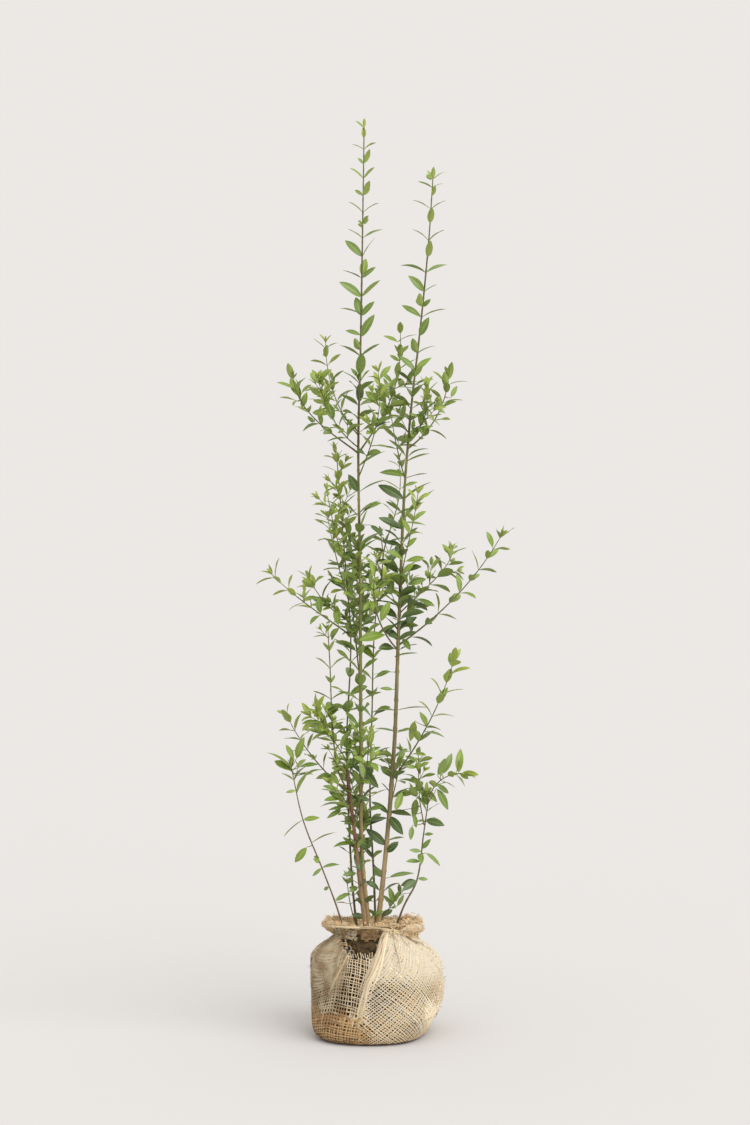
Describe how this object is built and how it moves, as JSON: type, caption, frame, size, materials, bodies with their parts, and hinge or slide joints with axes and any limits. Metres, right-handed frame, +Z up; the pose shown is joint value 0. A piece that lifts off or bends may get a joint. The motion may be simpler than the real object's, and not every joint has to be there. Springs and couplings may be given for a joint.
{
  "type": "privet sapling with root ball",
  "caption": "Young multi-stemmed privet hedging plant with glossy opposite leaves, standing on a soil root ball wrapped in hessian and tied at the neck with twine.",
  "frame": {"origin": "centre of the flat underside of the wrapped root ball, on the surface that the plant stands on", "axes": "+Z up along the stems, -Y towards the front, where the tear in the wrap shows, +X to the right as seen from the front"},
  "size_m": [0.4773, 0.3622, 1.724],
  "materials": {
    "leaf_young": "satin",
    "leaf_mature": "satin",
    "stem_bark": "matte",
    "old_bark": "matte",
    "shoot_bark": "matte",
    "hessian": "matte",
    "twine": "matte",
    "soil": "matte"
  },
  "bodies": {
    "root": {"back_shoot_bough": "shoot_bark", "back_shoot_leaves": "leaf_mature", "centre_column_leaves": "leaf_mature", "foot_left_leaves": "leaf_mature", "foot_right_leaves": "leaf_mature", "front_shoot_bough": "shoot_bark", "front_shoot_leaves": "leaf_mature", "hessian_wrap": "hessian", "left_column_back_leaves": "leaf_mature", "left_column_front_leaves": "leaf_mature", "left_column_leaves": "leaf_mature", "left_leader": "stem_bark", "left_leader_middle_leaves": "leaf_mature", "left_middle_bough": "shoot_bark", "left_middle_leaves": "leaf_young", "left_middle_side_leaves": "leaf_mature", "left_spire_leaves": "leaf_young", "low_back_leaves": "leaf_mature", "low_back_left_leaves": "leaf_mature", "low_centre_left_leaves": "leaf_mature", "low_centre_right_leaves": "leaf_mature", "low_front_leaves": "leaf_mature", "low_left_shoot": "shoot_bark", "low_left_top_leaves": "leaf_mature", "low_right_fork": "shoot_bark", "low_right_shoot": "shoot_bark", "low_right_tip_leaves": "leaf_young", "low_right_top_leaves": "leaf_young", "lower_centre_leaves": "leaf_mature", "lower_left_inner_leaves": "leaf_mature", "lower_left_outer_bough": "shoot_bark", "lower_left_outer_leaves": "leaf_mature", "middle_shoot_leaves": "leaf_mature", "old_stem": "old_bark", "outer_left_column_leaves": "leaf_young", "right_column_leaves": "leaf_mature", "right_leader": "stem_bark", "right_long_bough": "shoot_bark", "right_long_leaves": "leaf_young", "right_middle_leaves": "leaf_mature", "right_rising_bough": "shoot_bark", "right_rising_leaves": "leaf_young", "right_spire_leaves": "leaf_young", "right_thin_leaves": "leaf_mature", "root_ball": "soil", "thin_stem_left": "shoot_bark", "thin_stem_middle": "shoot_bark", "thin_stem_outer": "shoot_bark", "twine_tie": "twine", "upper_back_leaves": "leaf_mature", "upper_centre_bough": "shoot_bark", "upper_centre_front_leaves": "leaf_mature", "upper_centre_leaves": "leaf_young", "upper_left_inner_leaves": "leaf_young", "upper_left_middle_leaves": "leaf_mature", "upper_left_outer_bough": "shoot_bark", "upper_left_outer_leaves": "leaf_young", "upper_right_inner_leaves": "leaf_mature", "upper_right_outer_bough": "shoot_bark", "upper_right_outer_leaves": "leaf_young"}
  },
  "joints": []
}
